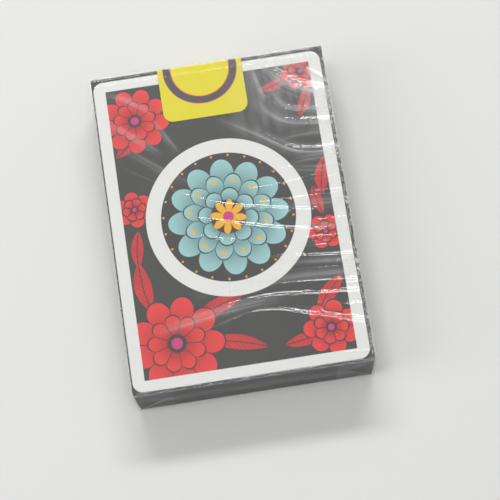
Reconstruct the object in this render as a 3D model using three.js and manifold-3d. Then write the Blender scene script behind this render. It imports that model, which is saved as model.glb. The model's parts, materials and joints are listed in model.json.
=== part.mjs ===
// A sealed pack of playing cards, lying face up: a tuck case of folded board, the
// cards in it, a paper seal across the closing edge and a clear film overwrap.
// Millimetres, +Z up. +Y is the end that opens, and the printed front faces +Z.
// The origin is on the surface that the pack lies on, under the middle of the pack.

import * as THREE from "three";
import { mergeVertices } from "three/addons/utils/BufferGeometryUtils.js";
import loadManifold from "manifold-3d";

const wasm = await loadManifold();
wasm.setup();

// The cards
const cardWidth = 63.5;
const cardLength = 88.9;
const cardThickness = 0.285;
const cardCornerRadius = 3.5;
const cardGap = 0.005;
const cardCount = 54;
const singleCardCount = 48;
const cardsInPair = 2;

// The case: one printed blank, creased, folded and glued
const boardThickness = 0.45;
const foldRadius = 0.5;
const bottomFoldRadius = 0.3;
const sideClearance = 0.9;
const backClearance = 0.1;
const bottomClearance = 0.2;
const topPlay = 0.9;
const frontRoom = 2;
const creaseGap = 0.15;
const notchRadius = 9;
const notchRiseShare = 0.12;
const glueFlapWidth = 11;
const glueFlapEndInset = 6;
const glueFlapTaper = 3;
const bottomFlapSideInset = 0.9;
const bottomFlapEdgeInset = 1.2;
const bottomFlapCorner = 1.6;

// The lid with its tongue, and the two dust flaps under it
const lidFrontGap = 0.3;
const lidSideInset = 0.2;
const lidBackRound = 0.4;
const lidFrontRound = 0.25;
const tongueGap = 0.3;
const tongueLength = 11;
const tongueSideInset = 1.1;
const tongueShoulder = 1.5;
const tongueCornerRadius = 8;
const tongueLeanDegrees = 5.2;
const dustFlapLength = 15;
const dustFlapBackInset = 1.4;
const dustFlapFrontInset = 0.8;
const dustFlapTipRadius = 3;
const dustFlapBackTaperShare = 0.34;
const dustFlapFrontTaperShare = 0.14;

// The seal, slit along the front edge of the lid and a little off the pack's middle
const sealThickness = 0.1;
const sealWidth = 24;
const sealMiddle = -2;
const sealFrontLength = 16;
const sealTopLength = 15;
const sealCornerRadius = 2.8;

// The film, parted round the top so that both halves can be drawn off
const filmThickness = 0.1;
const filmClearance = 0.25;
const filmPartingDepth = 2.2;
const filmPartingGap = 0.2;
const filmFlapSideInset = 0.8;
const filmFlapReachShare = 0.6;
const filmFlapSlopeShare = 0.75;

// Cuts run past the faces that they open by this much
const overrun = 1;

const arcSegments = 3;
const wideArcSegments = 12;
const bevelSegments = 3;

// Sizes that follow from those above
const cardPitch = cardThickness + cardGap;
const stackHeight = cardCount * cardPitch - cardGap;
const innerWidth = cardWidth + 2 * sideClearance;
const innerDepth = backClearance + stackHeight + frontRoom;
const caseWidth = innerWidth + 2 * boardThickness;
const caseDepth = innerDepth + 2 * boardThickness;
const topLayers = topPlay + boardThickness + creaseGap + boardThickness;
const caseLength = 2 * boardThickness + bottomClearance + cardLength + topLayers;

// Heights through the pack, from the surface up
const caseBack = filmThickness + filmClearance;
const caseFront = caseBack + caseDepth;
const innerBack = caseBack + boardThickness;
const innerFront = caseFront - boardThickness;
const cardsBack = innerBack + backClearance;
const cardsFront = cardsBack + stackHeight;

// Places along the pack, from the closed end to the one that opens
const caseTop = caseLength / 2;
const caseBottom = -caseTop;
const bottomLayer = caseBottom + boardThickness;
const innerBottom = bottomLayer + boardThickness;
const cardsMiddle = innerBottom + bottomClearance + cardLength / 2;
const cardsTop = cardsMiddle + cardLength / 2;
const flapUnderside = cardsTop + topPlay;
const lidUnderside = flapUnderside + boardThickness + creaseGap;
const lidReach = innerFront - lidFrontGap - caseBack;

const sealSides = [sealMiddle - sealWidth / 2, sealMiddle + sealWidth / 2];

// The film's faces, a clearance off the case, and its fold round the end edges
const filmEndRadius = filmClearance + filmThickness;
const filmInnerWidth = caseWidth + 2 * filmClearance;
const filmInnerDepth = caseDepth + 2 * filmClearance;
const filmInnerEnd = caseTop + filmClearance;
const filmOuterEnd = filmInnerEnd + filmThickness;
const filmParting = filmOuterEnd - filmPartingDepth;

const boardColour = { color: 0x242422, roughness: 0.55, metalness: 0 };
const cardColour = { color: 0xf1eee6, roughness: 0.5, metalness: 0 };
const sealColour = { color: 0xe6dc3c, roughness: 0.6, metalness: 0 };
const filmColour = {
  color: 0xe9eef0,
  roughness: 0.12,
  metalness: 0,
  transparent: true,
  opacity: 0.3,
};

// A section drawn across the pack and swept along it, and one drawn on the pack's
// side and swept across it.
const acrossPack = new THREE.Matrix4().makeBasis(
  new THREE.Vector3(1, 0, 0),
  new THREE.Vector3(0, 0, 1),
  new THREE.Vector3(0, -1, 0),
);
const onSide = new THREE.Matrix4().makeBasis(
  new THREE.Vector3(0, 1, 0),
  new THREE.Vector3(0, 0, 1),
  new THREE.Vector3(1, 0, 0),
);

function toSolid(geometry) {
  const bare = geometry.clone();
  bare.deleteAttribute("normal");
  bare.deleteAttribute("uv");
  const merged = mergeVertices(bare);
  const mesh = new wasm.Mesh({
    numProp: 3,
    vertProperties: new Float32Array(merged.attributes.position.array),
    triVerts: new Uint32Array(merged.index.array),
  });
  return new wasm.Manifold(mesh);
}

function toGeometry(solid) {
  const mesh = solid.getMesh();
  const geometry = new THREE.BufferGeometry();
  geometry.setAttribute("position", new THREE.BufferAttribute(mesh.vertProperties, mesh.numProp));
  geometry.setIndex(new THREE.BufferAttribute(mesh.triVerts, 1));
  geometry.computeVertexNormals();
  return geometry;
}

function piece(name, geometry, finish) {
  const mesh = new THREE.Mesh(geometry, new THREE.MeshStandardMaterial(finish));
  mesh.name = name;
  return mesh;
}

// A rectangle with round corners, about its middle.
function roundedRectangle(width, height, radius) {
  const x = width / 2;
  const y = height / 2;
  const shape = new THREE.Shape();
  shape.moveTo(x, -y + radius);
  shape.absarc(x - radius, y - radius, radius, 0, Math.PI / 2, false);
  shape.absarc(-x + radius, y - radius, radius, Math.PI / 2, Math.PI, false);
  shape.absarc(-x + radius, -y + radius, radius, Math.PI, 1.5 * Math.PI, false);
  shape.absarc(x - radius, -y + radius, radius, 1.5 * Math.PI, 2 * Math.PI, false);
  return shape;
}

function polygon(points) {
  return new THREE.Shape(points.map(([x, y]) => new THREE.Vector2(x, y)));
}

function sweep(shape, depth, segments = arcSegments) {
  return new THREE.ExtrudeGeometry(shape, { depth, bevelEnabled: false, curveSegments: segments });
}

// Sheet lying in the plane of the front, from one height up to another.
function flatSheet(shape, low, high, segments) {
  return sweep(shape, high - low, segments).translate(0, 0, low);
}

// Sheet standing across the pack, from one place along it to another.
function endSheet(shape, from, to, segments) {
  return sweep(shape, to - from, segments).applyMatrix4(acrossPack).translate(0, to, 0);
}

// Sheet standing along the side of the pack.
function sideSheet(shape, from, to, segments) {
  return sweep(shape, to - from, segments).applyMatrix4(onSide).translate(from, 0, 0);
}

function block(x, y, z) {
  const box = new THREE.BoxGeometry(x[1] - x[0], y[1] - y[0], z[1] - z[0]);
  return toSolid(box.translate((x[0] + x[1]) / 2, (y[0] + y[1]) / 2, (z[0] + z[1]) / 2));
}

// A closed prism along the pack with rounded long edges and softer end edges.
function foldedPrism(width, depth, middle, cornerRadius, endRadius, from, to) {
  const inset = 2 * endRadius;
  const section = roundedRectangle(width - inset, depth - inset, cornerRadius - endRadius);
  const prism = new THREE.ExtrudeGeometry(section, {
    depth: to - from - inset,
    bevelThickness: endRadius,
    bevelSize: endRadius,
    bevelSegments,
    curveSegments: arcSegments,
  });
  return toSolid(prism.applyMatrix4(acrossPack).translate(0, to - endRadius, middle));
}

const caseMiddle = (caseBack + caseFront) / 2;

// The outer layer of the closed end: a flap from the back panel, glued over the
// one from the front, stopping short of the front and of both sides.
function bottomFlap() {
  const side = caseWidth / 2 - bottomFlapSideInset;
  const edge = caseFront - bottomFlapEdgeInset;
  const root = caseBack + bottomFoldRadius;
  const outline = polygon([
    [-side, root],
    [side, root],
    [side, edge - bottomFlapCorner],
    [side - bottomFlapCorner, edge],
    [-side + bottomFlapCorner, edge],
    [-side, edge - bottomFlapCorner],
  ]);
  return toSolid(endSheet(outline, caseBottom, bottomLayer + boardThickness / 2));
}

// The glued seam: a second layer of board inside the right-hand side panel.
function glueFlap() {
  const face = innerWidth / 2;
  const from = innerBottom + glueFlapEndInset;
  const to = flapUnderside - glueFlapEndInset;
  const root = innerBack - boardThickness / 2;
  const edge = innerBack + glueFlapWidth;
  const outline = polygon([
    [from, root],
    [to, root],
    [to - glueFlapTaper, edge],
    [from + glueFlapTaper, edge],
  ]);
  return toSolid(sideSheet(outline, face - boardThickness, face + boardThickness / 2));
}

// The thumb notch: a half round in the front panel's top edge.
function thumbNotch() {
  const circle = new THREE.Shape();
  circle.absarc(0, 0, notchRadius, 0, 2 * Math.PI, false);
  const cutter = flatSheet(circle, innerFront - overrun, caseFront + overrun, wideArcSegments);
  return toSolid(cutter.translate(0, caseTop + notchRadius * notchRiseShare, 0));
}

// The side panels end under the dust flaps and the back panel under the lid, and
// only the front panel goes up to the top.
function topCuts() {
  const wide = [-caseWidth / 2 - overrun, caseWidth / 2 + overrun];
  const end = caseTop + 2 * overrun;
  const sides = block(wide, [flapUnderside - creaseGap, end], [innerBack, innerFront]);
  const back = block(wide, [lidUnderside - creaseGap, end], [caseBack - overrun, innerBack + overrun]);
  const front = block(wide, [caseTop, end], [innerFront - overrun, caseFront + overrun]);
  return sides.add(back).add(front);
}

function makeCaseBody() {
  const end = caseTop + overrun;
  const shell = foldedPrism(
    caseWidth, caseDepth, caseMiddle, foldRadius, bottomFoldRadius, bottomLayer, end,
  );
  const innerRadius = foldRadius - boardThickness;
  const section = roundedRectangle(innerWidth, innerDepth, innerRadius);
  const hollow = endSheet(section, innerBottom, end + overrun).translate(0, 0, caseMiddle);
  const folded = shell.subtract(toSolid(hollow)).add(glueFlap()).add(bottomFlap());
  return folded.subtract(topCuts()).subtract(thumbNotch());
}

// The lid's section, from its crease on the back panel to its front edge, about
// the crease.
function makeLidPanel() {
  const side = caseWidth / 2 - lidSideInset;
  const section = new THREE.Shape();
  section.moveTo(0, 0);
  section.lineTo(boardThickness - lidBackRound, 0);
  section.absarc(boardThickness - lidBackRound, lidBackRound, lidBackRound, -Math.PI / 2, 0, false);
  section.lineTo(boardThickness, lidReach - lidFrontRound);
  section.absarc(
    boardThickness - lidFrontRound, lidReach - lidFrontRound, lidFrontRound, 0, Math.PI / 2, false,
  );
  section.lineTo(0, lidReach);
  section.closePath();
  return sideSheet(section, -side, side);
}

// The tongue hangs from the lid's front edge, inside the front panel. It is drawn
// about its crease, which runs through the middle of the board, and is narrower
// past its shoulders, with two large round corners.
function makeTongue() {
  const root = innerWidth / 2 - tongueSideInset;
  const side = root - tongueShoulder;
  const radius = tongueCornerRadius;
  const shape = new THREE.Shape();
  shape.moveTo(-root, 0);
  shape.lineTo(-side, -tongueShoulder);
  shape.lineTo(-side, -tongueLength + radius);
  shape.absarc(-side + radius, -tongueLength + radius, radius, Math.PI, 1.5 * Math.PI, false);
  shape.absarc(side - radius, -tongueLength + radius, radius, 1.5 * Math.PI, 2 * Math.PI, false);
  shape.lineTo(side, -tongueShoulder);
  shape.lineTo(root, 0);
  shape.closePath();
  return flatSheet(shape, -boardThickness / 2, boardThickness / 2, wideArcSegments);
}

// A dust flap, drawn about its crease on the side panel and reaching inwards, with
// both edges tapered so that the lid clears it as the two rise.
function makeDustFlap(inwards) {
  const back = caseBack + dustFlapBackInset;
  const front = cardsFront - dustFlapFrontInset;
  const tipBack = back + dustFlapLength * dustFlapBackTaperShare;
  const tipFront = front - dustFlapLength * dustFlapFrontTaperShare;
  const straight = dustFlapLength - dustFlapTipRadius;
  const shape = new THREE.Shape();
  shape.moveTo(0, back);
  shape.lineTo(inwards * straight, back + straight * dustFlapBackTaperShare);
  shape.quadraticCurveTo(
    inwards * dustFlapLength, tipBack, inwards * dustFlapLength, tipBack + dustFlapTipRadius,
  );
  shape.lineTo(inwards * dustFlapLength, tipFront - dustFlapTipRadius);
  shape.quadraticCurveTo(
    inwards * dustFlapLength, tipFront,
    inwards * straight, front - straight * dustFlapFrontTaperShare,
  );
  shape.lineTo(0, front);
  shape.closePath();
  return endSheet(shape, 0, boardThickness);
}

// The part of the seal on the front panel, turned over that panel's top edge.
function makeSealFront() {
  const [left, right] = sealSides;
  const radius = sealCornerRadius;
  const low = caseTop - sealFrontLength;
  const shape = new THREE.Shape();
  shape.moveTo(right, low + radius);
  shape.lineTo(right, caseTop + sealThickness);
  shape.lineTo(left, caseTop + sealThickness);
  shape.absarc(left + radius, low + radius, radius, Math.PI, 1.5 * Math.PI, false);
  shape.absarc(right - radius, low + radius, radius, 1.5 * Math.PI, 2 * Math.PI, false);
  const face = toSolid(flatSheet(shape, caseFront, caseFront + sealThickness));
  const edge = block(
    sealSides, [caseTop, caseTop + sealThickness], [innerFront, caseFront + sealThickness],
  );
  return toGeometry(face.add(edge));
}

// The part of the seal on the lid, drawn about the lid's crease.
function makeSealLid() {
  const [left, right] = sealSides;
  const radius = sealCornerRadius;
  const edge = lidReach - lidFrontRound;
  const end = edge - sealTopLength;
  const shape = new THREE.Shape();
  shape.moveTo(right, edge);
  shape.lineTo(left, edge);
  shape.absarc(left + radius, end + radius, radius, Math.PI, 1.5 * Math.PI, false);
  shape.absarc(right - radius, end + radius, radius, 1.5 * Math.PI, 2 * Math.PI, false);
  return endSheet(shape, boardThickness, boardThickness + sealThickness);
}

// One long flap of the film's envelope fold: it starts at the front edge of the
// end or at the back one, and its ends slope in over the tucked sides.
function filmEndFlap(fromFront) {
  const halfDepth = filmInnerDepth / 2;
  const reach = filmInnerDepth * filmFlapReachShare;
  const side = filmInnerWidth / 2 - filmFlapSideInset;
  const slope = reach * filmFlapSlopeShare;
  const facing = fromFront ? 1 : -1;
  const root = facing * (halfDepth - filmEndRadius);
  const edge = facing * (halfDepth - reach);
  const corners = [[-side, root], [side, root], [side - slope, edge], [-side + slope, edge]];
  return polygon(fromFront ? corners.reverse() : corners);
}

// Both ends are closed by an envelope fold: one more layer under each flap, and
// two where the flaps lie over each other.
function filmEndFold(facing) {
  const layer = (shape, inner, outer) => {
    const [from, to] = facing > 0 ? [inner, outer] : [-outer, -inner];
    return toSolid(endSheet(shape, from, to).translate(0, 0, caseMiddle));
  };
  const half = filmThickness / 2;
  const first = filmOuterEnd + filmThickness;
  const second = first + filmThickness;
  const flap = (fromFront, outer) => layer(filmEndFlap(fromFront), filmOuterEnd - half, outer);
  const overlap = flap(true, second).intersect(flap(false, second));
  return flap(true, first).add(flap(false, first)).add(overlap);
}

function makeFilm() {
  const outerRadius = foldRadius + filmClearance + filmThickness;
  const outer = foldedPrism(
    filmInnerWidth + 2 * filmThickness, filmInnerDepth + 2 * filmThickness, caseMiddle,
    outerRadius, filmEndRadius, -filmOuterEnd, filmOuterEnd,
  );
  const inner = foldedPrism(
    filmInnerWidth, filmInnerDepth, caseMiddle,
    outerRadius - filmThickness, filmEndRadius - filmThickness, -filmInnerEnd, filmInnerEnd,
  );
  return outer.subtract(inner).add(filmEndFold(1)).add(filmEndFold(-1));
}

// The film on one side of its parting line.
function filmBetween(film, from, to) {
  const wide = filmInnerWidth / 2 + overrun;
  return toGeometry(film.intersect(block([-wide, wide], [from, to], [-overrun, caseFront + overrun])));
}

function makeCase() {
  const group = new THREE.Group();
  group.add(piece("case_body", toGeometry(makeCaseBody()), boardColour));
  group.add(piece("seal_front", makeSealFront(), sealColour));
  return group;
}

function makeLid() {
  const lid = new THREE.Group();
  lid.position.set(0, lidUnderside, caseBack);
  lid.add(piece("lid_panel", makeLidPanel(), boardColour));
  lid.add(piece("seal_lid", makeSealLid(), sealColour));
  const tongue = new THREE.Group();
  tongue.position.set(0, -tongueGap, lidReach - boardThickness / 2);
  tongue.rotation.x = THREE.MathUtils.degToRad(tongueLeanDegrees);
  tongue.add(piece("tuck_tongue", makeTongue(), boardColour));
  lid.add(tongue);
  return lid;
}

function makeDustFlaps() {
  const group = new THREE.Group();
  for (const [name, side] of [["dust_flap_left", -1], ["dust_flap_right", 1]]) {
    const flap = piece(name, makeDustFlap(-side), boardColour);
    flap.position.set(side * caseWidth / 2, flapUnderside, 0);
    group.add(flap);
  }
  return group;
}

// The cards lie face to face. The last six are three nodes of two cards each.
function makeCards() {
  const group = new THREE.Group();
  group.position.set(0, cardsMiddle, cardsBack);
  const outline = roundedRectangle(cardWidth, cardLength, cardCornerRadius);
  const cardShape = flatSheet(outline, 0, cardThickness);
  const pairShape = flatSheet(outline, 0, cardPitch + cardThickness);
  const label = (number) => String(number).padStart(2, "0");
  for (let card = 0; card < singleCardCount; card += 1) {
    const single = piece(`card_${label(card + 1)}`, cardShape, cardColour);
    single.position.z = card * cardPitch;
    group.add(single);
  }
  for (let card = singleCardCount; card < cardCount; card += cardsInPair) {
    const name = `card_pair_${label(card + 1)}_${label(card + cardsInPair)}`;
    const pair = piece(name, pairShape, cardColour);
    pair.position.z = card * cardPitch;
    group.add(pair);
  }
  return group;
}

function makeWrap() {
  const group = new THREE.Group();
  const film = makeFilm();
  const end = filmOuterEnd + overrun;
  const gap = filmPartingGap / 2;
  group.add(piece("wrap_cap", filmBetween(film, filmParting + gap, end), filmColour));
  group.add(piece("wrap_sleeve", filmBetween(film, -end, filmParting - gap), filmColour));
  return group;
}

const pack = new THREE.Group();
pack.add(makeCase(), makeLid(), makeDustFlaps(), makeCards(), makeWrap());

export default pack;
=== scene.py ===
# %% [markdown]
# # A sealed pack of playing cards
# The pack lies on its back with the printed front up. The case, its lid, the cards
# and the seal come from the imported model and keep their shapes. This lesson gives
# them their finishes, lays the printed layer on the front and wraps the pack in
# clear film. The first step loads the frame that every later piece is placed in.

# %% Load the frame
import json
import math

import bmesh
import bpy
import numpy as np
from mathutils import Matrix, Vector


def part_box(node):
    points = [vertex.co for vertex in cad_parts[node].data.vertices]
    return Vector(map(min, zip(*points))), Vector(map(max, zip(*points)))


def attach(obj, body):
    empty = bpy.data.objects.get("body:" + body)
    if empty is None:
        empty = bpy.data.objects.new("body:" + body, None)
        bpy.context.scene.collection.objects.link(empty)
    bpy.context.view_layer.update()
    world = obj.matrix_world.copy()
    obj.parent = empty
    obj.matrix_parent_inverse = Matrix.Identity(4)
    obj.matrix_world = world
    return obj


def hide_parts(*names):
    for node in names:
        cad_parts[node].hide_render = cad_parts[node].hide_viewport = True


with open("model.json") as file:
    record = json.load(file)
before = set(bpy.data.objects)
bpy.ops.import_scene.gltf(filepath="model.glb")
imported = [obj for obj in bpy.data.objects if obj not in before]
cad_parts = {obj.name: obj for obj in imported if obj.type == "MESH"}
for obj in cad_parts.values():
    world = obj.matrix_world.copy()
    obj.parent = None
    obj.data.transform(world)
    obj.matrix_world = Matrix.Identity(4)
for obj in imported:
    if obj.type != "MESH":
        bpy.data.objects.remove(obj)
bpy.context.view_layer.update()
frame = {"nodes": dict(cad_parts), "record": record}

MM = 0.001

# %% [markdown]
# ## Camera
# The picture was taken from above and a little towards the closed end. The camera
# is placed by what it aims at, how far off it is and three angles, because those
# numbers can be read and changed one at a time. The pack looks turned in the
# picture, and that is the camera's roll: the pack itself stays square to the frame.

# %% Camera
AIM = Vector((4.28, -7.92, 10.0)) * MM
CAMERA_DISTANCE = 497.6 * MM
CAMERA_AZIMUTH, CAMERA_ELEVATION, CAMERA_ROLL = -1.81, 73.54, -7.04

azimuth, elevation = math.radians(CAMERA_AZIMUTH), math.radians(CAMERA_ELEVATION)
towards_camera = Vector((
    math.sin(azimuth) * math.cos(elevation),
    -math.cos(azimuth) * math.cos(elevation),
    math.sin(elevation),
))
camera = bpy.data.objects.new("camera", bpy.data.cameras.new("camera"))
bpy.context.scene.collection.objects.link(camera)
camera.data.sensor_width = 36
camera.data.lens = 127.9
camera.data.clip_start, camera.data.clip_end = 0.01, 10
aimed = (-towards_camera).to_track_quat("-Z", "Y").to_matrix()
camera.matrix_world = Matrix.Translation(AIM + towards_camera * CAMERA_DISTANCE) @ (
    aimed @ Matrix.Rotation(math.radians(CAMERA_ROLL), 3, "Z")
).to_4x4()
bpy.context.scene.camera = camera
print("camera at", [round(v, 4) for v in camera.matrix_world.translation])

# %% [markdown]
# ## Floor and light
# A studio table top is one pale sheet. Clear film shows only what it mirrors, so the
# lamps matter as much as the film: a wide even sky gives the flat film its faint
# veil, and a long narrow lamp behind the pack gives each raised wrinkle a bright
# thread. The lamp stands where the flat film doesn't mirror it into the camera.
# Near the horizon the sky and the far table are pale to whatever looks at them, so
# the table has no visible end, and overhead the sky stays dim.

# %% Lamps
scene = bpy.context.scene
scene.view_settings.view_transform = "Standard"
scene.cycles.transparent_max_bounces = 32  # light passes many layers where clear film is folded
LAMP_AIM = Vector((0, 0, 0.01))


def soft_lamp(name, place, size, power):
    """A rectangular lamp that faces the pack."""
    data = bpy.data.lights.new(name, "AREA")
    data.shape, data.energy = "RECTANGLE", power
    data.size, data.size_y = size
    lamp = bpy.data.objects.new(name, data)
    turn = (LAMP_AIM - Vector(place)).to_track_quat("-Z", "Y")
    lamp.matrix_world = Matrix.Translation(place) @ turn.to_matrix().to_4x4()
    scene.collection.objects.link(lamp)


soft_lamp("far_thread_lamp", (0.06, 0.52, 0.70), (0.60, 0.12), 3.7)
soft_lamp("near_thread_lamp", (-0.05, -0.10, 0.86), (0.50, 0.10), 2.2)
soft_lamp("left_lamp", (-0.72, -0.10, 0.60), (0.40, 0.60), 1.7)

# %% [markdown]
# ## Short names for nodes
# A pattern made of nodes is arithmetic on the place of each point. These helpers add
# the nodes and join them, so a pattern reads like a sum, and a group that several
# finishes share is drawn once and placed with its own values in each.

# %% Node helpers


class Wires:
    """Adds and joins the nodes of one tree."""

    def __init__(self, tree):
        self.tree = tree

    def node(self, kind, **settings):
        made = self.tree.nodes.new(kind)
        for name, value in settings.items():
            setattr(made, name, value)
        return made

    def join(self, value, socket):
        if isinstance(value, bpy.types.NodeSocket):
            self.tree.links.new(value, socket)
        else:
            socket.default_value = value

    def fill(self, made, *values):
        """Joins values to a node's first inputs, and gives its first output."""
        for value, socket in zip(values, made.inputs):
            self.join(value, socket)
        return made.outputs[0]

    def feed(self, made, **values):
        """Joins values to a node's inputs by their names, and gives its outputs."""
        for name, value in values.items():
            self.join(value, made.inputs[name.replace("_", " ")])
        return made.outputs

    def fed(self, kind, **values):
        return self.feed(self.node(kind), **values)[0]

    def use(self, group, **values):
        return self.feed(self.node("ShaderNodeGroup", node_tree=group), **values)

    def math(self, operation, *values):
        return self.fill(self.node("ShaderNodeMath", operation=operation), *values)

    def chain(self, operation, first, *others):
        for other in others:
            first = self.math(operation, first, other)
        return first

    def add(self, *values):
        return self.chain("ADD", *values)

    def times(self, *values):
        return self.chain("MULTIPLY", *values)

    def larger(self, *values):
        return self.chain("MAXIMUM", *values)

    def smaller(self, *values):
        return self.chain("MINIMUM", *values)

    def less(self, a, b):
        return self.math("SUBTRACT", a, b)

    def rest(self, share):
        """What a share leaves of 1."""
        return self.less(1.0, share)

    def positive(self, value):
        return self.math("ABSOLUTE", value)

    def size(self, a, b):
        """The length of a line that runs a across and b up."""
        return self.math("SQRT", self.add(self.times(a, a), self.times(b, b)))

    def ramp(self, value, start, end, low=0.0, high=1.0):
        made = self.node("ShaderNodeMapRange", interpolation_type="SMOOTHSTEP")
        return self.fill(made, value, start, end, low, high)

    def inside(self, distance, blur=0.09):
        """1 where the distance is below zero, with a printed edge's softness."""
        return self.ramp(distance, blur, -blur)

    def mix(self, share, a, b):
        made = self.node("ShaderNodeMix", data_type="RGBA")
        for value, index in ((share, 0), (a, 6), (b, 7)):
            self.join(value, made.inputs[index])
        return made.outputs[2]

    def printed(self, colour, distance, ink, blur=0.09):
        """An ink laid over the colours so far, inside a distance."""
        return self.mix(self.inside(distance, blur), colour, ink)

    def blend(self, share, first, second):
        """A mix of two shaders."""
        return self.fill(self.node("ShaderNodeMixShader"), share, first, second)

    def scaled(self, vector, scale):
        made = self.node("ShaderNodeVectorMath", operation="SCALE")
        return self.feed(made, Vector=vector, Scale=scale)[0]

    def place(self, scale=1000.0):
        """The point's place on the pack, in millimetres."""
        return self.scaled(self.node("ShaderNodeTexCoord").outputs["Object"], scale)

    def apart(self, vector):
        made = self.node("ShaderNodeSeparateXYZ")
        self.fill(made, vector)
        return made.outputs

    def stretched(self, vector, scales):
        return self.fed("ShaderNodeMapping", Vector=vector, Scale=scales)

    def noise(self, vector, scale, detail=2.0, rough=0.5):
        """A soft noise. A scale of three numbers stretches it."""
        if isinstance(scale, tuple):
            vector, scale = self.stretched(vector, scale), 1.0
        return self.fed(
            "ShaderNodeTexNoise", Vector=vector, Scale=scale, Detail=detail, Roughness=rough)


def new_material(name):
    material = bpy.data.materials.new(name)
    material.use_nodes = True
    material.node_tree.nodes.clear()
    return material


def new_group(name, takes, gives):
    """A shader node group, with the wires to draw it."""
    tree = bpy.data.node_groups.new(name, "ShaderNodeTree")
    for title, value in takes.items():
        kind = "NodeSocketVector" if value is None else "NodeSocketFloat"
        socket = tree.interface.new_socket(title, in_out="INPUT", socket_type=kind)
        if value is not None:
            socket.default_value = value
    for title in gives:
        kind = "NodeSocketVector" if title == "Normal" else "NodeSocketFloat"
        tree.interface.new_socket(title, in_out="OUTPUT", socket_type=kind)
    source = tree.nodes.new("NodeGroupInput").outputs
    result = tree.nodes.new("NodeGroupOutput").inputs
    return tree, Wires(tree), source, result


def surface(name, **values):
    """A new material with one main shader, and the wires to draw it."""
    material = new_material(name)
    wires = Wires(material.node_tree)
    shader = wires.node("ShaderNodeBsdfPrincipled")
    wires.feed(shader, **values)
    wires.join(shader.outputs[0], wires.node("ShaderNodeOutputMaterial").inputs[0])
    return material, wires, shader


def looked_at(wires):
    """1 for rays from the camera and from mirroring or clear surfaces."""
    ray = wires.node("ShaderNodeLightPath").outputs
    return wires.larger(ray["Is Camera Ray"], ray["Is Glossy Ray"], ray["Is Transmission Ray"])


# %% Sky
SKY, PALE_SKY = 0.25, 0.80
world = bpy.data.worlds.new("studio")
world.use_nodes = True
wires = Wires(world.node_tree)
height = wires.apart(wires.node("ShaderNodeTexCoord").outputs["Generated"])[2]
pale_share = wires.times(wires.ramp(height, 0.50, 0.20), looked_at(wires))
backdrop = world.node_tree.nodes["Background"].inputs
backdrop["Color"].default_value = (1, 1, 1, 1)
wires.join(wires.add(SKY, wires.times(pale_share, PALE_SKY - SKY)), backdrop["Strength"])
scene.world = world

# %% Floor
FLOOR_HALF, FLOOR_DROP = 9, 0.00005  # metres; the pack lies a hair above the floor
FADE_START, FADE_END = 0.25, 1.30  # metres from the pack
corners = ((-1, -1), (1, -1), (1, 1), (-1, 1))
floor_mesh = bpy.data.meshes.new("table_top")
floor_mesh.from_pydata(
    [(FLOOR_HALF * a, FLOOR_HALF * b, -FLOOR_DROP) for a, b in corners], [], [(0, 1, 2, 3)])
table_top = bpy.data.objects.new("table_top", floor_mesh)
scene.collection.objects.link(table_top)
pale, wires, shader = surface("pale_table", Roughness=0.75)
spot = wires.place(1.0)
cloudy = wires.mix(wires.noise(spot, 3.0), (0.76, 0.76, 0.75, 1), (0.80, 0.80, 0.79, 1))
wires.join(cloudy, shader.inputs["Base Color"])
x, y, _ = wires.apart(spot)
glow = wires.fed("ShaderNodeEmission", Color=(PALE_SKY, PALE_SKY, PALE_SKY, 1))
far_off = wires.times(wires.ramp(wires.size(x, y), FADE_START, FADE_END), looked_at(wires))
fading = wires.blend(far_off, shader.outputs[0], glow)
wires.join(fading, pale.node_tree.nodes["Material Output"].inputs[0])
floor_mesh.materials.append(pale)

# %% [markdown]
# ## Effects that several finishes share
# Board, card and seal are all paper. Up close their surface is a felt of short
# fibres, which one group draws as a height and a faint mottling. It reads the
# point's place on the pack, so nothing slides when a piece moves.

# %% Paper fibre
FIBRE_HEIGHT = 0.00003
fibre, wires, takes, gives = new_group(
    "paper fibre", {"Place": None, "Fibre size": 0.25, "Depth": 0.3}, ("Mottle", "Normal")
)
long_grain = wires.stretched(takes["Place"], (1.0, 0.35, 1.0))
per_size = wires.math("DIVIDE", 1.0, takes["Fibre size"])
felt = wires.noise(long_grain, per_size, 4.0, 0.6)
wide = wires.noise(takes["Place"], wires.times(per_size, 0.12), 2.0)
wires.join(wires.add(wires.times(felt, 0.5), wires.times(wide, 0.5)), gives["Mottle"])
bump = wires.fed("ShaderNodeBump", Distance=FIBRE_HEIGHT, Strength=takes["Depth"], Height=felt)
wires.join(bump, gives["Normal"])
print("group", fibre.name)

# %% [markdown]
# ## Printed shapes as distances
# A printed outline is easiest to draw as a distance: below zero inside the shape and
# above it outside. A band, a ring or a thin line is then one more sum on the same
# number. Three groups give a rounded box, a leaf and a round of petals.

# %% Rounded box
HERE = {"Across": 0.0, "Up": 0.0}
rounded_box, wires, takes, gives = new_group(
    "rounded box", {**HERE, "Half width": 10.0, "Half height": 10.0, "Corner": 1.0}, ("Distance",)
)
over_x, over_y = (
    wires.less(wires.positive(takes[along]), wires.less(takes[half], takes["Corner"]))
    for along, half in (("Across", "Half width"), ("Up", "Half height"))
)
outer = wires.size(wires.larger(over_x, 0.0), wires.larger(over_y, 0.0))
inner = wires.smaller(wires.larger(over_x, over_y), 0.0)
wires.join(wires.less(wires.add(outer, inner), takes["Corner"]), gives["Distance"])

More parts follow.
